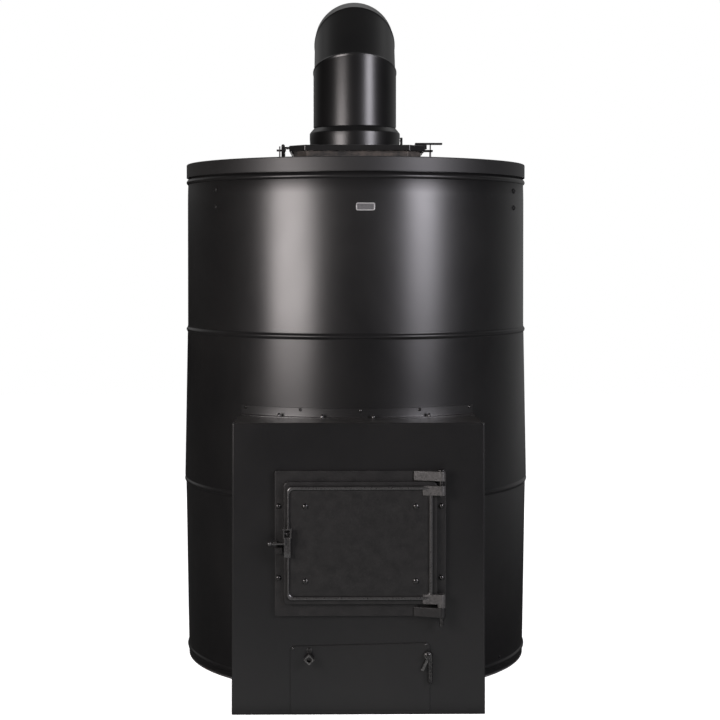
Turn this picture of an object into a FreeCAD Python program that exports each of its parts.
import FreeCAD, Part
import math
import os

from FreeCAD import Placement, Rotation, Vector

# Wood-burning sauna stove. Millimetres, +Z up, the front looks along -Y.
# The origin lies on the floor, on the axis of the drum.

# Drum casing: three rolled courses, each with a swaged bead under its upper edge
drum_radius = 550.0
drum_height = 1571.0
casing_wall = 3.0
lower_course_top = 576.0
middle_course_top = 1056.0
bead_margin = 3.0
bead_height = 4.0
bead_width = 16.0
foot_bead_top = 30.0
skirt_bead_gap = 6.0
base_wall = 6.0

# Lid of the drum
lid_wall = 4.0
lid_skirt = 43.0
lid_edge_radius = 3.5

# Liner and insulation
insulation_thickness = 40.0
liner_wall = 5.0

# General clearances
seat_gap = 0.3
sheet_gap = 0.5
running_gap = 0.05
bolt_hole_gap = 0.2

# Feed neck and front plate
front_plate_width = 709.0
front_plate_height = 812.0
front_plate_y = -753.0
front_plate_wall = 3.0
front_plate_fold = 18.0
neck_wall = 3.0
flashing_wall = 2.0
flashing_leg = 28.0
flashing_side_margin = 6.0

# Firebox
fire_side_margin = 20.0
fire_wall = 8.0
fire_back_y = 340.0
throat_gap = 25.5
fire_floor_z = 230.0
floor_wall = 8.0
ledge_width = 12.0
ledge_height = 40.0
brick_thickness = 30.0
brick_top_gap = 42.0
brick_courses = 4
bricks_per_course = 2
brick_front_gap = 5.0
brick_joint = 0.4

# Fire grate in the firebox floor
grate_hole_width = 220.0
grate_hole_length = 500.0
grate_front_y = -560.0
grate_lap = 15.0
grate_thickness = 20.0
grate_slot_width = 14.0
grate_slot_count = 7
grate_rim = 20.0

# Stone deck over the fire
deck_wall = 8.0
deck_lap = 20.0
deck_hole_front_y = -300.0
stone_bar_width = 30.0
stone_bar_height = 40.0
stone_bar_count = 10
stone_bar_lap = 22.0

# Cast door frame and its bolts
door_frame_width = 480.0
door_frame_height = 406.0
door_frame_x = 3.0
door_frame_z = 482.0
door_frame_thickness = 12.0
door_frame_corner = 6.0
mouth_side_border = 47.5
mouth_end_border = 53.0
frame_bolt_inset = 12.5
frame_bolt_spacing_z = 198.0
frame_bolt_radius = 5.0
frame_bolt_head_radius = 7.5
frame_bolt_head_height = 5.0
frame_nut_radius = 8.0
frame_nut_height = 8.0

# Cast door leaf
leaf_reveal_left = 30.0
leaf_reveal_right = 25.0
leaf_reveal_top = 32.0
leaf_reveal_bottom = 36.0
leaf_thickness = 10.0
leaf_corner = 14.0
leaf_flange = 11.0
ridge_width = 13.0
ridge_height = 8.0
ridge_round = 3.5
panel_height = 2.0
gasket_thickness = 2.7
gasket_width = 12.0
gasket_lap = 4.0
panel_bolt_spacing_x = 307.0
panel_bolt_spacing_z = 208.0
panel_bolt_radius = 5.0
panel_bolt_head_radius = 8.0
panel_bolt_head_height = 5.0
panel_nut_height = 6.0
shield_margin = 16.0
shield_wall = 4.0
shield_stand_off = 14.0

# Door hinges
hinge_offset = 11.6
hinge_stand = 16.0
knuckle_radius = 11.0
hinge_pin_radius = 6.0
hinge_pin_tail = 26.0
hinge_pin_head = 5.0
frame_lug_height = 27.0
frame_lug_length = 76.0
door_lug_height = 27.0
door_lug_length = 52.0
door_lug_inset_low = 1.0
door_lug_inset_high = 8.0
lug_root = 5.0

# Door latch
latch_inset = 10.0
latch_rise = 29.0
latch_pivot_radius = 5.0
latch_boss_radius = 9.5
latch_body_width = 18.0
latch_body_drop = 64.0
latch_body_thickness = 12.0
latch_arm_drop = 26.5
latch_arm_radius = 4.5
latch_arm_reach = 53.0
latch_ball_radius = 5.8
latch_finger_width = 10.0
latch_finger_offset = 29.0
latch_finger_drop = 35.0
latch_finger_thickness = 8.0
latch_bridge_drop = 29.0
latch_head_radius = 8.0
latch_head_height = 3.5
keeper_lip_drop = 39.5
keeper_lip_height = 11.5
keeper_wall = 4.0
keeper_depth = 20.0
keeper_base = 2.5
keeper_frame_inset = 1.0
keeper_leaf_gap = 4.0

# Ash drawer
ash_centre_x = 6.5
ash_box_width = 350.0
ash_box_height = 150.0
ash_box_length = 700.0
ash_box_wall = 3.0
ash_opening_gap = 4.0
ash_front_lap = 22.5
ash_front_left_rise = 25.7
ash_front_slope = 9.0
ash_front_bottom_z = 3.0
ash_front_wall = 4.0
ash_front_corner = 9.0
runner_width = 20.0
runner_height = 8.0
ash_pull_inset = 50.0
ash_pull_drop = 35.0
ash_pull_side = 24.0
ash_pull_depth = 16.0
ash_pull_hollow = 9.0
ash_pull_stem_radius = 6.0
ash_pull_stem = 10.0
ash_pull_boss_radius = 8.0
ash_pull_boss_rise = 22.0
ash_pull_boss_height = 4.0

# Ash drawer latch
ash_latch_inset = 11.0
ash_latch_top_gap = 30.0
ash_latch_stud_radius = 5.0
ash_latch_hub_radius = 10.0
ash_latch_hub_depth = 14.4
ash_latch_bar_radius = 7.0
ash_latch_drop = 81.0
ash_latch_wing_x = 17.0
ash_latch_wing_z = 47.0
ash_latch_wing_width = 8.0
ash_latch_wing_depth = 5.0
ash_latch_ear = 6.0
ash_latch_head_height = 3.0
ash_latch_head_radius = 8.0

# Steam hatch
hatch_y = -250.0
hatch_neck_half = 190.0
hatch_neck_cut = 40.0
hatch_neck_wall = 10.0
hatch_neck_height = 21.0
hatch_lid_lap = 13.0
hatch_lid_wall = 5.0
hatch_lid_height = 17.0
hatch_rim_wall = 8.0
hatch_hinge_offset = 23.0
hatch_hinge_rise = 46.5
hatch_pin_radius = 3.5
hatch_pin_overhang = 6.0
hatch_knuckle_radius = 7.0
hatch_knuckle_length = 40.0
hatch_ear_wall = 6.0
hatch_ear_half_width = 7.5
hatch_bracket_wall = 4.0
hatch_arm_wall = 6.0
hatch_arm_reach = 90.0
hatch_handle_inset = 4.5
hatch_handle_block = 36.0
hatch_handle_width = 30.0
hatch_handle_rise = 19.0
hatch_handle_bar = 5.0
hatch_handle_overhang = 61.5
hatch_lug_overhang = 32.5
hatch_lug_width = 24.0
hatch_lug_wall = 6.0
hatch_lug_drop = 2.5
hatch_stop_offset = 25.0
hatch_stop_radius = 3.0
hatch_stop_nut_radius = 6.0
hatch_stop_nut_height = 6.0

# Flue
flue_y = 300.0
collar_step = 12.5
collar_wall = 4.0
collar_straight = 124.0
collar_shoulder = 17.0
collar_flange = 16.0
collar_flange_wall = 4.0
pipe_radius = 140.5
pipe_wall = 3.0
pipe_spigot = 20.0
elbow_radius = 200.0
elbow_rise = 263.0
gore_one_tilt = 40.0
gore_two_tilt = 75.0
outlet_run = 100.0
outlet_spigot = 50.0

# Flue damper
damper_rise = 79.0
damper_shaft_radius = 5.0
damper_plate_gap = 2.5
damper_plate_wall = 3.0
damper_handle_length = 30.0
damper_handle_width = 12.0
damper_handle_wall = 4.0
damper_shaft_overhang = 10.0

# Small trim on the drum
side_screw_radius = 8.0
side_screw_height = 5.0
side_screw_upper_drop = 90.0
side_screw_lower_drop = 142.0
side_screw_right_angle = 64.0
side_screw_left_angle = -52.0
foot_screw_angle = 54.0
foot_screw_z = 42.0
foot_screw_radius = 4.5
foot_screw_height = 3.0
badge_width = 55.0
badge_height = 23.0
badge_wall = 2.0
badge_corner = 5.0
badge_x = 23.0
badge_drop = 147.0
flashing_screw_radius = 5.0
flashing_screw_height = 3.5
upright_screw_count = 5
upright_screw_inset = 13.5
flat_screw_count = 4
flat_screw_span = 441.0
flat_screw_shift = -12.0
flat_screw_radius = 6.0
flat_screw_height = 6.5

# Places and radii worked out from the sizes above
origin = Vector(0, 0, 0)
full_turn = 360.0
quarter_turn = 90.0
through = 1.0
parallel_tolerance = 0.01
to_back = Vector(0, 1, 0)
to_front = Vector(0, -1, 0)
upward = Vector(0, 0, 1)
lid_under_z = drum_height - lid_wall
lower_bead_top = lower_course_top - bead_margin
middle_bead_top = middle_course_top - bead_margin
skirt_bottom_z = drum_height - lid_skirt
upper_bead_top = skirt_bottom_z - skirt_bead_gap
neck_half_width = front_plate_width / 2 - front_plate_wall - sheet_gap
neck_top_z = front_plate_height - front_plate_wall - sheet_gap
neck_under_z = neck_top_z - neck_wall
plate_back_y = front_plate_y + front_plate_wall
liner_outer = drum_radius - casing_wall - sheet_gap - insulation_thickness - sheet_gap
liner_inner = liner_outer - liner_wall
fire_half_width = door_frame_width / 2 + fire_side_margin
fire_outer = fire_half_width + fire_wall
deck_top_z = neck_under_z - throat_gap
fire_top_z = deck_top_z - deck_wall
deck_hole_half_width = fire_half_width - deck_lap
deck_hole_back_y = fire_back_y - deck_lap
deck_radius = liner_inner - sheet_gap
mouth_width = door_frame_width - 2 * mouth_side_border
mouth_height = door_frame_height - 2 * mouth_end_border
frame_bolt_spacing_x = door_frame_width - 2 * frame_bolt_inset
frame_left_x = door_frame_x - door_frame_width / 2
leaf_left_x = frame_left_x + leaf_reveal_left
leaf_right_x = door_frame_x + door_frame_width / 2 - leaf_reveal_right
leaf_x = (leaf_left_x + leaf_right_x) / 2
leaf_width = leaf_right_x - leaf_left_x
frame_front_y = front_plate_y - door_frame_thickness
leaf_back_y = frame_front_y - gasket_thickness - seat_gap
leaf_front_y = leaf_back_y - leaf_thickness
ridge_front_y = leaf_front_y - ridge_height
panel_front_y = leaf_front_y - panel_height
hinge_y = frame_front_y - hinge_stand
frame_top_z = door_frame_z + door_frame_height / 2
frame_bottom_z = door_frame_z - door_frame_height / 2
leaf_top_z = frame_top_z - leaf_reveal_top
leaf_bottom_z = frame_bottom_z + leaf_reveal_bottom
leaf_z = (leaf_top_z + leaf_bottom_z) / 2
leaf_height = leaf_top_z - leaf_bottom_z
hinge_x = leaf_right_x + hinge_offset
latch_pivot_x = leaf_left_x + latch_inset
latch_pivot_z = leaf_z + latch_rise
latch_seat_y = ridge_front_y - sheet_gap
corner_share = 2 - math.sqrt(2)
hatch_lid_half = hatch_neck_half + hatch_lid_lap
hatch_lid_cut = hatch_neck_cut + hatch_lid_lap * corner_share
hatch_hinge_x = -hatch_lid_half - hatch_hinge_offset
collar_radius = pipe_radius + collar_step
elbow_centre_z = drum_height + elbow_rise


def box(x0, x1, y0, y1, z0, z1):
    return Part.makeBox(x1 - x0, y1 - y0, z1 - z0, Vector(x0, y0, z0))


def rod(radius, start, end):
    line = end.sub(start)
    return Part.makeCylinder(radius, line.Length, start, line)


def turned(outline, centre_x=0.0, centre_y=0.0):
    """Solid of revolution about a vertical axis, from a closed list of (radius, height) corners."""
    corners = [Vector(r, 0, z) for r, z in outline]
    face = Part.Face(Part.makePolygon(corners + corners[:1]))
    solid = face.revolve(origin, upward, full_turn)
    solid.translate(Vector(centre_x, centre_y, 0))
    return solid


def ring(outer, inner, z0, z1, centre_x=0.0, centre_y=0.0):
    return turned([(inner, z0), (outer, z0), (outer, z1), (inner, z1)], centre_x, centre_y)


def disc(radius, z0, z1, centre_x=0.0, centre_y=0.0):
    return Part.makeCylinder(radius, z1 - z0, Vector(centre_x, centre_y, z0))


def prism(corners, travel):
    """Flat outline pushed along one straight line."""
    return Part.Face(Part.makePolygon(corners + corners[:1])).extrude(travel)


def hatch_plate(half, cut, z0, z1):
    """Square plate over the hatch's middle, with its four corners cut off."""
    near = half - cut
    outline = [(-near, -half), (near, -half), (half, -near), (half, near),
               (near, half), (-near, half), (-half, near), (-half, -near)]
    return prism([Vector(x, hatch_y + y, z0) for x, y in outline], upward * (z1 - z0))


def hatch_frame(half, cut, wall, z0, z1):
    """Such a plate with a hole that leaves a wall of even thickness."""
    return hatch_plate(half, cut, z0, z1).cut(hatch_plate(half - wall, cut - wall * corner_share, z0, z1))


def rounded(shape, radius, direction):
    """Rounds the straight edges that run along one direction."""
    edges = []
    for edge in shape.Edges:
        if edge.tangentAt(edge.FirstParameter).cross(direction).Length < parallel_tolerance:
            edges.append(edge)
    return shape.makeFillet(radius, edges)


def front_plate_shape(centre_x, centre_z, width, height, y0, y1, corner):
    """Upright plate with rounded corners, seen from the front."""
    x0 = centre_x - width / 2
    z0 = centre_z - height / 2
    plate = box(x0, x0 + width, y0, y1, z0, z0 + height)
    return rounded(plate, corner, to_back)


def domed_head(radius, height, seat, direction):
    """Round bolt head: a spherical cap that sits on its flat side."""
    sphere = (radius ** 2 + height ** 2) / (2 * height)
    half_angle = math.asin(radius / sphere) / 2
    middle = Vector(sphere * math.sin(half_angle), 0, height - sphere + sphere * math.cos(half_angle))
    rim = Vector(radius, 0, 0)
    crown = Vector(0, 0, height)
    edges = [Part.makeLine(origin, rim), Part.Arc(rim, middle, crown).toShape(), Part.makeLine(crown, origin)]
    head = Part.Face(Part.Wire(edges)).revolve(origin, upward, full_turn)
    head.Placement = Placement(seat, Rotation(upward, direction))
    return head


def fused(shapes):
    return shapes[0].multiFuse(shapes[1:]).removeSplitter()


def save(name, shape):
    shape.exportStep("parts/%s.step" % name)


def save_group(name, solids):
    save(name, Part.makeCompound(solids))


def on_drum(angle, height, radius):
    """Point on the drum at an angle from the front, positive to the right."""
    turn = math.radians(angle)
    return Vector(radius * math.sin(turn), -radius * math.cos(turn), height)


def casing_profile(z0, z1, bead_tops):
    """Section of a rolled sheet course with a swaged bead below each given height."""
    inner = drum_radius - casing_wall
    corners = [Vector(inner, 0, z1), Vector(inner, 0, z0), Vector(drum_radius, 0, z0)]
    edges = [Part.makeLine(corners[0], corners[1]), Part.makeLine(corners[1], corners[2])]
    here = corners[2]
    for top in bead_tops:
        start = Vector(drum_radius, 0, top - bead_width)
        crest = Vector(drum_radius + bead_height, 0, top - bead_width / 2)
        end = Vector(drum_radius, 0, top)
        edges.append(Part.makeLine(here, start))
        edges.append(Part.Arc(start, crest, end).toShape())
        here = end
    shoulder = Vector(drum_radius, 0, z1)
    edges.append(Part.makeLine(here, shoulder))
    edges.append(Part.makeLine(shoulder, corners[0]))
    return Part.Face(Part.Wire(edges))


def make_drum():
    """Base, casing courses, lid, liner and insulation."""
    inner_half = neck_half_width - neck_wall
    neck_way = box(-inner_half, inner_half, front_plate_y, 0, 0, neck_under_z)
    base = disc(drum_radius, 0, base_wall)
    base_front = box(-neck_half_width, neck_half_width, plate_back_y, 0, 0, base_wall)
    save("base_plate", fused([base, base_front]))
    lower = casing_profile(base_wall, lower_course_top, [foot_bead_top, lower_bead_top])
    half_opening = math.degrees(math.asin(inner_half / drum_radius))
    lower.rotate(origin, upward, half_opening - quarter_turn)
    save("casing_lower", lower.revolve(origin, upward, full_turn - 2 * half_opening))
    middle = casing_profile(lower_course_top, middle_course_top, [middle_bead_top])
    save("casing_middle", middle.revolve(origin, upward, full_turn).cut(neck_way))
    upper = casing_profile(middle_course_top, lid_under_z, [upper_bead_top])
    save("casing_upper", upper.revolve(origin, upward, full_turn))

    skirt_inner = drum_radius + sheet_gap
    skirt_outer = skirt_inner + lid_wall
    lid = disc(skirt_inner, lid_under_z, drum_height)
    hole_z0 = lid_under_z - through
    hole_z1 = drum_height + through
    hole_half = hatch_neck_half - hatch_neck_wall
    hole_cut = hatch_neck_cut - hatch_neck_wall * corner_share
    hatch_hole = hatch_plate(hole_half, hole_cut, hole_z0, hole_z1)
    flue_hole = disc(collar_radius - collar_wall, hole_z0, hole_z1, 0, flue_y)
    save("top_lid", lid.cut(hatch_hole).cut(flue_hole))

    corner = math.sqrt(0.5) * lid_edge_radius
    arc_centre_r = skirt_outer - lid_edge_radius
    arc_centre_z = drum_height - lid_edge_radius
    points = [
        Vector(skirt_inner, 0, drum_height),
        Vector(skirt_inner, 0, skirt_bottom_z),
        Vector(skirt_outer, 0, skirt_bottom_z),
        Vector(skirt_outer, 0, arc_centre_z),
    ]
    crown = Vector(arc_centre_r, 0, drum_height)
    shoulder = Vector(arc_centre_r + corner, 0, arc_centre_z + corner)
    edges = [Part.makeLine(a, b) for a, b in zip(points, points[1:])]
    edges.append(Part.Arc(points[-1], shoulder, crown).toShape())
    edges.append(Part.makeLine(crown, points[0]))
    save("lid_skirt", Part.Face(Part.Wire(edges)).revolve(origin, upward, full_turn))

    liner = ring(liner_outer, liner_inner, base_wall, lid_under_z)
    fire_way = fire_outer + sheet_gap
    save("inner_shell", liner.cut(box(-fire_way, fire_way, front_plate_y, 0, 0, deck_top_z + sheet_gap)))
    mat_inner = liner_outer + sheet_gap
    mat = ring(mat_inner + insulation_thickness, mat_inner, base_wall, lid_under_z - sheet_gap)
    save("insulation_mat", mat.cut(neck_way))


def make_firebox():
    """Steel firebox with brick lining, grate, and the deck that carries the stones."""
    back_outer = fire_back_y + fire_wall
    save("firebox_left_wall",
         box(-fire_outer, -fire_half_width, plate_back_y, back_outer, base_wall, fire_top_z))
    save("firebox_right_wall",
         box(fire_half_width, fire_outer, plate_back_y, back_outer, base_wall, fire_top_z))
    save("firebox_back_wall",
         box(-fire_half_width, fire_half_width, fire_back_y, back_outer, base_wall, fire_top_z))

    floor_under_z = fire_floor_z - floor_wall
    floor = box(-fire_half_width, fire_half_width, plate_back_y, fire_back_y, floor_under_z, fire_floor_z)
    half_hole = grate_hole_width / 2
    grate_back_y = grate_front_y + grate_hole_length
    hole = box(-half_hole, half_hole, grate_front_y, grate_back_y, floor_under_z, fire_floor_z)
    save("firebox_floor", floor.cut(hole))
    ledge_x = fire_half_width - ledge_width
    ledge_z = floor_under_z - ledge_height
    save_group("floor_ledges", [
        box(-fire_half_width, -ledge_x, plate_back_y, fire_back_y, ledge_z, floor_under_z),
        box(ledge_x, fire_half_width, plate_back_y, fire_back_y, ledge_z, floor_under_z),
    ])

    half_grate = half_hole + grate_lap
    grate_top_z = fire_floor_z + grate_thickness
    grate = box(-half_grate, half_grate, grate_front_y - grate_lap, grate_back_y + grate_lap,
                fire_floor_z, grate_top_z)
    slot_pitch = grate_hole_width / grate_slot_count
    for index in range(grate_slot_count):
        slot_x = -half_hole + slot_pitch * (index + 0.5)
        grate = grate.cut(box(slot_x - grate_slot_width / 2, slot_x + grate_slot_width / 2,
                              grate_front_y + grate_rim, grate_back_y - grate_rim, fire_floor_z, grate_top_z))
    save("fire_grate", grate)

    brick_front_y = plate_back_y + frame_nut_height + brick_front_gap
    brick_pitch_z = (fire_top_z - fire_floor_z - brick_top_gap) / brick_courses
    brick_pitch_y = (fire_back_y - brick_front_y) / bricks_per_course
    brick_inner = fire_half_width - brick_thickness
    left_bricks = []
    right_bricks = []
    back_bricks = []
    for course in range(brick_courses):
        z0 = fire_floor_z + course * brick_pitch_z
        z1 = z0 + brick_pitch_z - brick_joint
        for index in range(bricks_per_course):
            y0 = brick_front_y + index * brick_pitch_y
            y1 = y0 + brick_pitch_y - brick_joint
            left_bricks.append(box(-fire_half_width, -brick_inner, y0, y1, z0, z1))
            right_bricks.append(box(brick_inner, fire_half_width, y0, y1, z0, z1))
        back_half = brick_inner - brick_joint
        back_bricks.append(box(-back_half, back_half, fire_back_y - brick_thickness, fire_back_y, z0, z1))
    save_group("firebricks_left", left_bricks)
    save_group("firebricks_right", right_bricks)
    save_group("firebricks_back", back_bricks)

    roof = box(-fire_outer, fire_outer, plate_back_y, 0, fire_top_z, deck_top_z)
    save("throat_roof", roof.cut(disc(deck_radius + sheet_gap, fire_top_z, deck_top_z)))
    deck = disc(deck_radius, fire_top_z, deck_top_z)
    save("stone_deck", deck.cut(box(-deck_hole_half_width, deck_hole_half_width, deck_hole_front_y,
                                    deck_hole_back_y, fire_top_z, deck_top_z)))
    bar_half_length = deck_hole_half_width + stone_bar_lap
    bar_pitch = (deck_hole_back_y - deck_hole_front_y) / stone_bar_count
    bars = []
    for index in range(stone_bar_count):
        y0 = deck_hole_front_y + bar_pitch * (index + 0.5) - stone_bar_width / 2
        y1 = y0 + stone_bar_width
        bars.append(box(-bar_half_length, bar_half_length, y0, y1, deck_top_z, deck_top_z + stone_bar_height))
    save_group("stone_grate_bars", bars)


def make_neck():
    """Sheet covers of the feed neck, with the screwed flashing where they meet the drum."""
    seat_radius = drum_radius + seat_gap
    drum_space = disc(seat_radius, 0, neck_top_z)
    bead_radius = seat_radius + bead_height
    foot_bead_space = disc(bead_radius, foot_bead_top - bead_width, foot_bead_top)
    bead_space = foot_bead_space.fuse(disc(bead_radius, lower_bead_top - bead_width, lower_bead_top))
    inner_half = neck_half_width - neck_wall
    left = box(-neck_half_width, -inner_half, plate_back_y, 0, base_wall, neck_under_z)
    right = box(inner_half, neck_half_width, plate_back_y, 0, base_wall, neck_under_z)
    top = box(-neck_half_width, neck_half_width, plate_back_y, 0, neck_under_z, neck_top_z)
    save("neck_left", left.cut(drum_space).cut(bead_space))
    save("neck_right", right.cut(drum_space).cut(bead_space))
    save("neck_top", top.cut(drum_space))

    half_run = neck_half_width - flashing_side_margin
    run = box(-half_run, half_run, front_plate_y, 0, neck_top_z, neck_top_z + flashing_leg)
    upright = ring(seat_radius + flashing_wall, seat_radius, neck_top_z, neck_top_z + flashing_leg)
    flat = ring(seat_radius + flashing_leg, seat_radius, neck_top_z, neck_top_z + flashing_wall)
    save("neck_flashing", fused([upright.common(run), flat.common(run)]))

    heads = []
    upright_radius = seat_radius + flashing_wall
    upright_z = neck_top_z + flashing_wall + (flashing_leg - flashing_wall) / 2
    reach = half_run - upright_screw_inset
    for index in range(upright_screw_count):
        x = reach * (2 * index / (upright_screw_count - 1) - 1)
        y = -math.sqrt(upright_radius ** 2 - x ** 2)
        seat = Vector(x, y, upright_z)
        heads.append(domed_head(flashing_screw_radius, flashing_screw_height, seat, Vector(x, y, 0)))
    flat_radius = seat_radius + flashing_wall + (flashing_leg - flashing_wall) / 2
    flat_z = neck_top_z + flashing_wall
    for index in range(flat_screw_count):
        x = flat_screw_shift + flat_screw_span * (index / (flat_screw_count - 1) - 0.5)
        y = -math.sqrt(flat_radius ** 2 - x ** 2)
        heads.append(domed_head(flat_screw_radius, flat_screw_height, Vector(x, y, flat_z), upward))
    save_group("flashing_screws", heads)


def bolt_places(centre_x, centre_z, spacing_x, spacing_z, y):
    """Four corners of a bolt pattern on an upright face."""
    places = []
    for side_x in (-0.5, 0.5):
        for side_z in (-0.5, 0.5):
            places.append(Vector(centre_x + side_x * spacing_x, y, centre_z + side_z * spacing_z))
    return places


def frame_bolt_places(y):
    """Bolt pattern shared by the door frame and the front plate."""
    return bolt_places(door_frame_x, door_frame_z, frame_bolt_spacing_x, frame_bolt_spacing_z, y)


def bolt_holes(places, radius, y0, y1):
    """Through holes for a bolt pattern, with room for the shanks."""
    holes = []
    for place in places:
        holes.append(rod(radius + bolt_hole_gap, Vector(place.x, y0, place.z), Vector(place.x, y1, place.z)))
    return holes[0].multiFuse(holes[1:])


def ash_box_span(gap):
    """Left, right, bottom and top of the ash box, grown by a gap."""
    half = ash_box_width / 2 + gap
    bottom = base_wall + runner_height + seat_gap
    return ash_centre_x - half, ash_centre_x + half, bottom - gap, bottom + ash_box_height + gap


def door_mouth(y0, y1):
    """Space of the fire mouth between two upright planes."""
    x0 = door_frame_x - mouth_width / 2
    z0 = door_frame_z - mouth_height / 2
    return box(x0, x0 + mouth_width, y0, y1, z0, z0 + mouth_height)


def make_front_plate():
    """Folded front sheet with the fire mouth, the ash opening and the frame's bolt holes."""
    half = front_plate_width / 2
    fold_y = front_plate_y + front_plate_fold
    face = box(-half, half, front_plate_y, plate_back_y, 0, front_plate_height)
    left = box(-half, -half + front_plate_wall, plate_back_y, fold_y, 0, front_plate_height)
    right = box(half - front_plate_wall, half, plate_back_y, fold_y, 0, front_plate_height)
    top = box(-half, half, plate_back_y, fold_y, front_plate_height - front_plate_wall, front_plate_height)
    plate = fused([face, left, right, top])
    mouth = door_mouth(front_plate_y, plate_back_y)
    x0, x1, z0, z1 = ash_box_span(ash_opening_gap)
    ash_opening = box(x0, x1, front_plate_y, plate_back_y, z0, z1)
    places = frame_bolt_places(front_plate_y)
    plate = plate.cut(mouth).cut(ash_opening)
    save("front_plate", plate.cut(bolt_holes(places, frame_bolt_radius, front_plate_y, plate_back_y)))


def hinge_lug(length, root_y, z0, z1, knuckle_z0, knuckle_z1):
    """Wedge that rises from a plate to the round knuckle of a hinge."""
    outline = [
        Vector(hinge_x - length, root_y, z0),
        Vector(hinge_x, root_y, z0),
        Vector(hinge_x, hinge_y - knuckle_radius, z0),
        Vector(hinge_x - length, root_y - lug_root, z0),
    ]
    wedge = prism(outline, Vector(0, 0, z1 - z0))
    knuckle = rod(knuckle_radius, Vector(hinge_x, hinge_y, knuckle_z0), Vector(hinge_x, hinge_y, knuckle_z1))
    return wedge.fuse(knuckle)


def hinge_bore(z0, z1):
    return rod(hinge_pin_radius + running_gap, Vector(hinge_x, hinge_y, z0), Vector(hinge_x, hinge_y, z1))


def make_door_frame():
    """Cast frame bolted to the front plate, with its hinge lugs, pins and the latch keeper."""
    frame = front_plate_shape(door_frame_x, door_frame_z, door_frame_width, door_frame_height,
                              frame_front_y, front_plate_y, door_frame_corner)
    pieces = [frame.cut(door_mouth(frame_front_y, front_plate_y))]
    for z0 in (frame_top_z - frame_lug_height, frame_bottom_z):
        z1 = z0 + frame_lug_height
        pieces.append(hinge_lug(frame_lug_length, frame_front_y, z0, z1, z0, z1))
        pieces.append(box(hinge_x, hinge_x + knuckle_radius, hinge_y, frame_front_y, z0, z1))
    frame = fused(pieces).cut(hinge_bore(frame_bottom_z, frame_top_z))
    places = frame_bolt_places(frame_front_y)
    save("door_frame", frame.cut(bolt_holes(places, frame_bolt_radius, frame_front_y, front_plate_y)))

    bolts = []
    for place in places:
        back = Vector(place.x, plate_back_y, place.z)
        nut_end = Vector(place.x, plate_back_y + frame_nut_height, place.z)
        head = domed_head(frame_bolt_head_radius, frame_bolt_head_height, place, to_front)
        shank = rod(frame_bolt_radius, place, nut_end)
        nut = rod(frame_nut_radius, back, nut_end)
        bolts.append(fused([head, shank, nut]))
    save_group("door_frame_bolts", bolts)

    upper_z0 = leaf_top_z - door_lug_inset_high - door_lug_height
    lower_z1 = leaf_bottom_z + door_lug_inset_low + door_lug_height
    top = Vector(hinge_x, hinge_y, frame_top_z)
    head_top = Vector(hinge_x, hinge_y, frame_top_z + hinge_pin_head)
    upper = fused([rod(hinge_pin_radius, Vector(hinge_x, hinge_y, upper_z0), top),
                   rod(knuckle_radius, top, head_top)])
    lower_top = Vector(hinge_x, hinge_y, lower_z1)
    lower = rod(hinge_pin_radius, Vector(hinge_x, hinge_y, frame_bottom_z - hinge_pin_tail), lower_top)
    save_group("hinge_pins", [upper, lower])

    lip_top = latch_pivot_z - keeper_lip_drop
    lip_bottom = lip_top - keeper_lip_height
    lip_front = frame_front_y - keeper_depth
    keeper_outer_x = frame_left_x + keeper_frame_inset
    inner_x = leaf_left_x - keeper_leaf_gap
    shelf_z = lip_bottom - keeper_wall
    base = box(keeper_outer_x, inner_x, frame_front_y - keeper_base, frame_front_y, shelf_z, lip_top)
    shelf = box(keeper_outer_x, inner_x, lip_front, frame_front_y, shelf_z, lip_bottom)
    lip = box(keeper_outer_x, inner_x, lip_front, lip_front + keeper_wall, shelf_z, lip_top)
    save("latch_keeper", fused([base, shelf, lip]))


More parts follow.
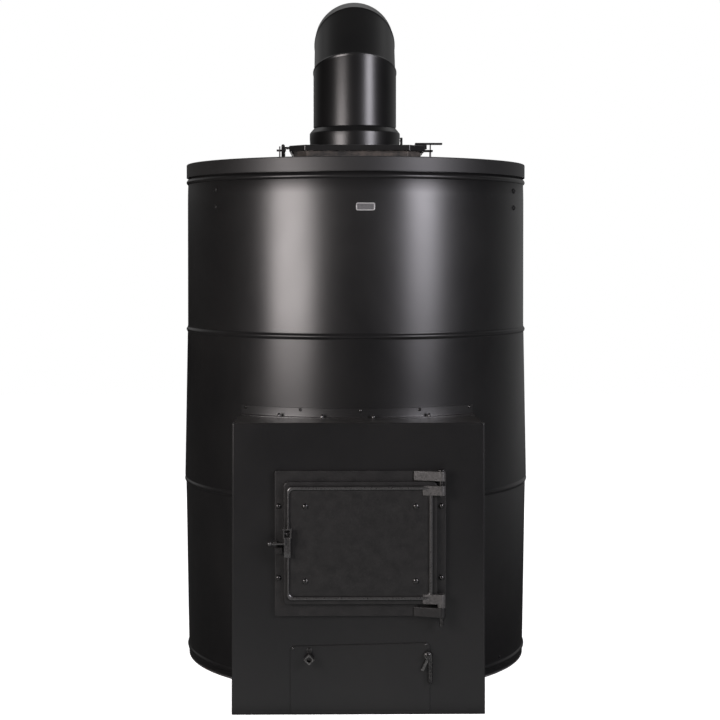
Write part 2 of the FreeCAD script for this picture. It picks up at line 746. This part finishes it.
def make_door():
    """Cast door leaf with its ridge and hinge lugs, gasket, heat shield and panel bolts."""
    leaf = front_plate_shape(leaf_x, leaf_z, leaf_width, leaf_height, leaf_front_y, leaf_back_y, leaf_corner)
    ridge_outer_width = leaf_width - 2 * leaf_flange
    ridge_outer_height = leaf_height - 2 * leaf_flange
    panel_width = ridge_outer_width - 2 * ridge_width
    panel_tall = ridge_outer_height - 2 * ridge_width
    ridge = front_plate_shape(leaf_x, leaf_z, ridge_outer_width, ridge_outer_height,
                              ridge_front_y, leaf_front_y, leaf_corner)
    ridge = ridge.cut(front_plate_shape(leaf_x, leaf_z, panel_width, panel_tall,
                                        ridge_front_y, leaf_front_y, leaf_corner))
    crest = [edge for edge in ridge.Edges if edge.BoundBox.YMax < ridge_front_y + seat_gap]
    ridge = ridge.makeFillet(ridge_round, crest)
    panel = front_plate_shape(leaf_x, leaf_z, panel_width, panel_tall,
                              panel_front_y, leaf_front_y, leaf_corner)
    upper_z1 = leaf_top_z - door_lug_inset_high
    upper_z0 = upper_z1 - door_lug_height
    lower_z0 = leaf_bottom_z + door_lug_inset_low
    lower_z1 = lower_z0 + door_lug_height
    rest_z = frame_bottom_z + frame_lug_height + seat_gap
    upper = hinge_lug(door_lug_length, leaf_front_y, upper_z0, upper_z1, upper_z0, upper_z1)
    lower = hinge_lug(door_lug_length, leaf_front_y, lower_z0, lower_z1, rest_z, lower_z1)
    boss = rod(latch_boss_radius, Vector(latch_pivot_x, leaf_front_y, latch_pivot_z),
               Vector(latch_pivot_x, latch_seat_y, latch_pivot_z))
    leaf = fused([leaf, ridge, panel, upper, lower, boss])
    places = bolt_places(leaf_x, leaf_z, panel_bolt_spacing_x, panel_bolt_spacing_z, panel_front_y)
    leaf = leaf.cut(hinge_bore(rest_z, frame_top_z))
    save("door_leaf", leaf.cut(bolt_holes(places, panel_bolt_radius, panel_front_y, leaf_back_y)))

    inner_width = mouth_width + 2 * gasket_lap
    inner_height = mouth_height + 2 * gasket_lap
    gasket_front_y = leaf_back_y + gasket_thickness
    gasket = front_plate_shape(door_frame_x, door_frame_z, inner_width + 2 * gasket_width,
                               inner_height + 2 * gasket_width, leaf_back_y, gasket_front_y, gasket_width)
    inside = box(door_frame_x - inner_width / 2, door_frame_x + inner_width / 2, leaf_back_y, gasket_front_y,
                 door_frame_z - inner_height / 2, door_frame_z + inner_height / 2)
    save("door_gasket", gasket.cut(inside))

    shield_front_y = leaf_back_y + shield_stand_off
    shield_back_y = shield_front_y + shield_wall
    shield = front_plate_shape(door_frame_x, door_frame_z, mouth_width - 2 * shield_margin,
                               mouth_height - 2 * shield_margin, shield_front_y, shield_back_y, shield_margin)
    save("door_heat_shield", shield.cut(bolt_holes(places, panel_bolt_radius, shield_front_y, shield_back_y)))

    bolts = []
    for place in places:
        leaf_back = Vector(place.x, leaf_back_y, place.z)
        shield_front = Vector(place.x, shield_front_y, place.z)
        shield_back = Vector(place.x, shield_back_y, place.z)
        nut_end = Vector(place.x, shield_back_y + panel_nut_height, place.z)
        bolts.append(fused([
            domed_head(panel_bolt_head_radius, panel_bolt_head_height, place, to_front),
            rod(panel_bolt_radius, place, nut_end),
            rod(panel_bolt_head_radius, leaf_back, shield_front),
            rod(panel_bolt_head_radius, shield_back, nut_end),
        ]))
    save_group("door_panel_bolts", bolts)


def make_door_latch():
    """Lever on a stud: a bar with a ball-ended arm, and a finger that drops behind the keeper's lip."""
    back_y = latch_seat_y - seat_gap
    front_y = back_y - latch_body_thickness
    pin_start = Vector(latch_pivot_x, latch_seat_y, latch_pivot_z)
    head_seat = Vector(latch_pivot_x, front_y - seat_gap, latch_pivot_z)
    stud = rod(latch_pivot_radius, pin_start, head_seat)
    head = domed_head(latch_head_radius, latch_head_height, head_seat, to_front)
    save("latch_pivot", fused([stud, head]))

    half = latch_body_width / 2
    pivot_front = Vector(latch_pivot_x, front_y, latch_pivot_z)
    pivot_back = Vector(latch_pivot_x, back_y, latch_pivot_z)
    foot_z = latch_pivot_z - latch_body_drop
    bar = box(latch_pivot_x - half, latch_pivot_x + half, front_y, back_y, foot_z, latch_pivot_z)
    middle_y = (front_y + back_y) / 2
    arm_z = latch_pivot_z - latch_arm_drop
    arm_end = Vector(latch_pivot_x - latch_arm_reach, middle_y, arm_z)
    arm = rod(latch_arm_radius, Vector(latch_pivot_x, middle_y, arm_z), arm_end)
    ball = Part.makeSphere(latch_ball_radius, arm_end)
    finger_x1 = latch_pivot_x - latch_finger_offset
    finger_x0 = finger_x1 - latch_finger_width
    finger_back = frame_front_y - keeper_base - seat_gap - sheet_gap
    bridge_z = latch_pivot_z - latch_bridge_drop
    bridge = box(finger_x0, finger_x1, middle_y, finger_back, bridge_z, arm_z + latch_arm_radius)
    finger = box(finger_x0, finger_x1, finger_back - latch_finger_thickness, finger_back,
                 latch_pivot_z - latch_finger_drop, arm_z)
    lever = fused([bar, rod(half, pivot_front, pivot_back), arm, ball, bridge, finger])
    bore = rod(latch_pivot_radius + running_gap, pivot_front, pivot_back)
    save("door_latch", lever.cut(bore))


def make_ash_drawer():
    """Ash tray on its rails, with the front that overlaps the opening, its pull and its latch."""
    back_y = front_plate_y - seat_gap
    front_y = back_y - ash_front_wall
    x0, x1, z0, z1 = ash_box_span(0)
    tray_end_y = back_y + ash_box_length
    tray = box(x0, x1, back_y, tray_end_y, z0, z1)
    hollow = box(x0 + ash_box_wall, x1 - ash_box_wall, back_y + ash_box_wall, tray_end_y - ash_box_wall,
                 z0 + ash_box_wall, z1)
    save("ash_box", tray.cut(hollow))
    rail_inset = ash_box_wall + runner_width
    rail_top = base_wall + runner_height
    rail_end_y = plate_back_y + ash_box_length
    save_group("ash_runners", [
        box(x0 + ash_box_wall, x0 + rail_inset, plate_back_y, rail_end_y, base_wall, rail_top),
        box(x1 - rail_inset, x1 - ash_box_wall, plate_back_y, rail_end_y, base_wall, rail_top),
    ])

    front_x0 = x0 - ash_front_lap
    front_x1 = x1 + ash_front_lap
    left_z = z1 + ash_front_left_rise
    right_z = left_z + ash_front_slope
    outline = [
        Vector(front_x0, front_y, ash_front_bottom_z),
        Vector(front_x1, front_y, ash_front_bottom_z),
        Vector(front_x1, front_y, right_z),
        Vector(front_x0, front_y, left_z),
    ]
    save("ash_front", rounded(prism(outline, Vector(0, ash_front_wall, 0)), ash_front_corner, to_back))

    seat = Vector(front_x0 + ash_pull_inset, front_y, left_z - ash_pull_drop)
    stem_end = seat + to_front * ash_pull_stem
    knob_front = stem_end + to_front * ash_pull_depth
    half = ash_pull_side / 2
    knob = box(-half, half, -ash_pull_depth, 0, -half, half)
    knob.Placement = Placement(stem_end, Rotation(to_back, quarter_turn / 2))
    knob = knob.cut(rod(ash_pull_hollow, knob_front, knob_front + to_back * ash_pull_hollow))
    boss_seat = seat + upward * ash_pull_boss_rise
    boss = rod(ash_pull_boss_radius, boss_seat, boss_seat + to_front * ash_pull_boss_height)
    save_group("ash_pull", [fused([knob, rod(ash_pull_stem_radius, seat, stem_end)]), boss])

    pivot = Vector(front_x1 - ash_latch_inset, front_y, right_z - ash_latch_top_gap)
    hub_back = pivot + to_front * seat_gap
    hub_front = hub_back + to_front * ash_latch_hub_depth
    head_seat = hub_front + to_front * seat_gap
    head = domed_head(ash_latch_head_radius, ash_latch_head_height, head_seat, to_front)
    save("ash_latch_stud", fused([rod(ash_latch_stud_radius, pivot, head_seat), head]))
    middle = (hub_back + hub_front) * 0.5
    bar_end = middle - upward * (ash_latch_drop - ash_latch_bar_radius)
    lean = Vector(-ash_latch_wing_x, 0, -ash_latch_wing_z)
    wing = box(0, ash_latch_wing_width, -ash_latch_wing_depth / 2, ash_latch_wing_depth / 2, 0, lean.Length)
    wing.Placement = Placement(middle, Rotation(upward, lean))
    ear_x1 = pivot.x + ash_latch_bar_radius + ash_latch_ear
    ear_z0 = pivot.z - ash_latch_wing_z / 2
    ear = box(pivot.x, ear_x1, middle.y - ash_latch_wing_depth / 2, middle.y + ash_latch_wing_depth / 2,
              ear_z0, ear_z0 + ash_latch_wing_width)
    lever = fused([
        rod(ash_latch_hub_radius, hub_back, hub_front),
        rod(ash_latch_bar_radius, middle, bar_end),
        Part.makeSphere(ash_latch_bar_radius, bar_end),
        wing,
        ear,
    ])
    save("ash_latch_lever", lever.cut(rod(ash_latch_stud_radius + running_gap, hub_back, hub_front)))


def make_steam_hatch():
    """Square hatch with cut corners: neck, bracket and stop stay put, the cap swings up to the left."""
    neck_top = drum_height + hatch_neck_height
    cap_z0 = neck_top + seat_gap
    cap_z1 = cap_z0 + hatch_lid_height
    cap_under = cap_z1 - hatch_lid_wall
    rim_inner = hatch_lid_half - hatch_rim_wall
    save("hatch_neck", hatch_frame(hatch_neck_half, hatch_neck_cut, hatch_neck_wall, drum_height, neck_top))
    save("hatch_gasket", hatch_frame(hatch_neck_half, hatch_neck_cut, hatch_neck_wall, cap_z0, cap_under))
    rim = hatch_frame(hatch_lid_half, hatch_lid_cut, hatch_rim_wall, cap_z0, cap_under)
    cap = hatch_plate(hatch_lid_half, hatch_lid_cut, cap_under, cap_z1)
    half_lug = hatch_lug_width / 2
    lug_end_x = hatch_lid_half + hatch_lug_overhang
    lug_top = cap_z1 - hatch_lug_drop
    lug_under = lug_top - hatch_lug_wall
    lug = box(rim_inner, lug_end_x, hatch_y - half_lug, hatch_y + half_lug, lug_under, lug_top)
    save("hatch_lid", fused([cap, rim, lug]))

    axis_z = drum_height + hatch_hinge_rise
    half_knuckle = hatch_knuckle_length / 2
    knuckle_front = Vector(hatch_hinge_x, hatch_y - half_knuckle, axis_z)
    knuckle_back = Vector(hatch_hinge_x, hatch_y + half_knuckle, axis_z)
    strap = box(hatch_hinge_x, hatch_hinge_x + hatch_arm_reach, knuckle_front.y, knuckle_back.y,
                cap_z1, cap_z1 + hatch_arm_wall)
    arm = fused([strap, rod(hatch_knuckle_radius, knuckle_front, knuckle_back)])
    save("hatch_hinge_arm", arm.cut(rod(hatch_pin_radius + running_gap, knuckle_front, knuckle_back)))

    ear_start = half_knuckle + sheet_gap
    ear_end = ear_start + hatch_ear_wall
    bracket_top = drum_height + hatch_bracket_wall
    ear_x0 = hatch_hinge_x - hatch_ear_half_width
    ear_x1 = hatch_hinge_x + hatch_ear_half_width
    pieces = [box(ear_x0, ear_x1, hatch_y - ear_end, hatch_y + ear_end, drum_height, bracket_top)]
    for near, far in ((-ear_end, -ear_start), (ear_start, ear_end)):
        pieces.append(box(ear_x0, ear_x1, hatch_y + near, hatch_y + far, bracket_top, axis_z))
        pieces.append(rod(hatch_ear_half_width, Vector(hatch_hinge_x, hatch_y + near, axis_z),
                          Vector(hatch_hinge_x, hatch_y + far, axis_z)))
    pin_front = Vector(hatch_hinge_x, hatch_y - ear_end - hatch_pin_overhang, axis_z)
    pin_back = Vector(hatch_hinge_x, hatch_y + ear_end + hatch_pin_overhang, axis_z)
    save("hatch_hinge_bracket", fused(pieces).cut(rod(hatch_pin_radius + running_gap, pin_front, pin_back)))
    save("hatch_hinge_pin", rod(hatch_pin_radius, pin_front, pin_back))

    half_width = hatch_handle_width / 2
    block_x = hatch_lid_half - hatch_handle_inset
    block_x0 = block_x - hatch_handle_block / 2
    block_x1 = block_x + hatch_handle_block / 2
    bar_end_x = hatch_lid_half + hatch_handle_overhang
    bar_top = cap_z1 + hatch_handle_rise
    bar_under = bar_top - hatch_handle_bar
    block = box(block_x0, block_x1, hatch_y - half_width, hatch_y + half_width, cap_z1, bar_under)
    bar = box(block_x0, bar_end_x, hatch_y - half_width, hatch_y + half_width, bar_under, bar_top)
    save("hatch_handle", fused([block, bar]))

    stop_x = hatch_lid_half + hatch_stop_offset
    stop_foot = Vector(stop_x, hatch_y, drum_height)
    stop_top = Vector(stop_x, hatch_y, lug_under - seat_gap)
    nut = rod(hatch_stop_nut_radius, stop_foot, stop_foot + upward * hatch_stop_nut_height)
    save("hatch_stop_bolt", fused([rod(hatch_stop_radius, stop_foot, stop_top), nut]))


def beyond_seam(angle, after):
    """Large block on one side of a mitre plane of the elbow, all of which pass through the bend's centre."""
    reach = 2 * (elbow_radius + pipe_radius + outlet_run + elbow_rise)
    z0, z1 = (0, reach) if after else (-reach, 0)
    block = box(-reach, reach, -reach, reach, z0, z1)
    bend_centre = Vector(0, flue_y + elbow_radius, elbow_centre_z)
    block.Placement = Placement(bend_centre, Rotation(Vector(1, 0, 0), -angle))
    return block


def gore(tilt, first_seam, second_seam):
    """One straight length of the segmented elbow, cut by its two mitre planes."""
    turn = math.radians(tilt)
    along = Vector(0, math.sin(turn), math.cos(turn))
    touch_y = flue_y + elbow_radius * (1 - math.cos(turn))
    touch = Vector(0, touch_y, elbow_centre_z + elbow_radius * math.sin(turn))
    run = along * (elbow_radius + pipe_radius)
    start = touch - run
    end = touch + run
    tube = rod(pipe_radius, start, end).cut(rod(pipe_radius - pipe_wall, start, end))
    return tube.cut(beyond_seam(first_seam, False)).cut(beyond_seam(second_seam, True))


def make_flue():
    """Collar, stove pipe and the segmented elbow that turns the smoke to the back."""
    collar_top = drum_height + collar_straight + collar_shoulder
    collar_inner = collar_radius - collar_wall
    flange_top = drum_height + collar_flange_wall
    shoulder_z = drum_height + collar_straight
    throat_inner = pipe_radius - collar_wall
    collar = turned([
        (collar_inner, drum_height),
        (collar_radius + collar_flange, drum_height),
        (collar_radius + collar_flange, flange_top),
        (collar_radius, flange_top),
        (collar_radius, shoulder_z),
        (pipe_radius, collar_top),
        (throat_inner, collar_top),
        (collar_inner, shoulder_z),
    ], 0, flue_y)
    damper_z = drum_height + damper_rise
    shaft_end = collar_radius + damper_shaft_overhang
    shaft_left = Vector(-shaft_end, flue_y, damper_z)
    shaft_right = Vector(shaft_end, flue_y, damper_z)
    save("flue_collar", collar.cut(rod(damper_shaft_radius + running_gap, shaft_left, shaft_right)))

    first_seam = gore_one_tilt / 2
    second_seam = (gore_one_tilt + gore_two_tilt) / 2
    third_seam = (gore_two_tilt + quarter_turn) / 2
    pipe_inner = pipe_radius - pipe_wall
    spigot_outer = throat_inner - sheet_gap
    spigot_inner = spigot_outer - pipe_wall
    pipe_end = elbow_centre_z + elbow_radius + pipe_radius
    pipe = turned([
        (spigot_inner, collar_top - pipe_spigot),
        (spigot_outer, collar_top - pipe_spigot),
        (spigot_outer, collar_top),
        (pipe_radius, collar_top),
        (pipe_radius, pipe_end),
        (pipe_inner, pipe_end),
        (pipe_inner, collar_top + pipe_wall),
        (spigot_inner, collar_top + pipe_wall),
    ], 0, flue_y)
    save("flue_pipe", pipe.cut(beyond_seam(first_seam, True)))
    save("elbow_gore_1", gore(gore_one_tilt, first_seam, second_seam))
    save("elbow_gore_2", gore(gore_two_tilt, second_seam, third_seam))

    axis_z = elbow_centre_z + elbow_radius
    bend_y = flue_y + elbow_radius
    end_y = bend_y + outlet_run
    tube_start = Vector(0, bend_y - pipe_radius, axis_z)
    tube_end = Vector(0, end_y, axis_z)
    step = Vector(0, end_y - pipe_wall, axis_z)
    spigot_end = Vector(0, end_y + outlet_spigot, axis_z)
    end_outer = pipe_inner - sheet_gap
    outer = rod(pipe_radius, tube_start, tube_end).fuse(rod(end_outer, tube_end, spigot_end))
    bore = rod(pipe_inner, tube_start, step).fuse(rod(end_outer - pipe_wall, step, spigot_end))
    save("elbow_outlet", outer.cut(bore).cut(beyond_seam(third_seam, False)))

    half_plate = damper_plate_wall / 2
    damper_plate_radius = pipe_radius - damper_plate_gap
    plate_front = Vector(0, flue_y - half_plate, damper_z)
    plate_back = Vector(0, flue_y + half_plate, damper_z)
    save("damper_plate", rod(damper_plate_radius, plate_front, plate_back))
    slot = rod(damper_plate_radius, plate_front, plate_back)
    save("damper_shaft", rod(damper_shaft_radius, shaft_left, shaft_right).cut(slot))
    handle_x1 = shaft_end - damper_handle_wall / 2
    half_handle = damper_handle_width / 2
    handle = box(handle_x1 - damper_handle_wall, handle_x1, flue_y - half_handle, flue_y + half_handle,
                 damper_z - half_handle, damper_z + damper_handle_length)
    save("damper_handle", handle.cut(rod(damper_shaft_radius, shaft_left, shaft_right)))


def make_trim():
    """Screw heads and the bare badge plate on the drum."""
    heads = []
    for angle in (side_screw_right_angle, side_screw_left_angle):
        for drop in (side_screw_upper_drop, side_screw_lower_drop):
            seat = on_drum(angle, drum_height - drop, drum_radius)
            heads.append(domed_head(side_screw_radius, side_screw_height, seat, on_drum(angle, 0, 1)))
    foot_seat = on_drum(foot_screw_angle, foot_screw_z, drum_radius)
    heads.append(domed_head(foot_screw_radius, foot_screw_height, foot_seat, on_drum(foot_screw_angle, 0, 1)))
    save_group("casing_side_screws", heads)
    badge = front_plate_shape(0, 0, badge_width, badge_height, -badge_wall, 0, badge_corner)
    angle = math.degrees(math.asin(badge_x / drum_radius))
    seat = on_drum(angle, drum_height - badge_drop, drum_radius)
    badge.Placement = Placement(seat, Rotation(upward, angle))
    save("badge_plate", badge)


os.makedirs("parts", exist_ok=True)
make_drum()
make_firebox()
make_neck()
make_front_plate()
make_door_frame()
make_door()
make_door_latch()
make_ash_drawer()
make_steam_hatch()
make_flue()
make_trim()
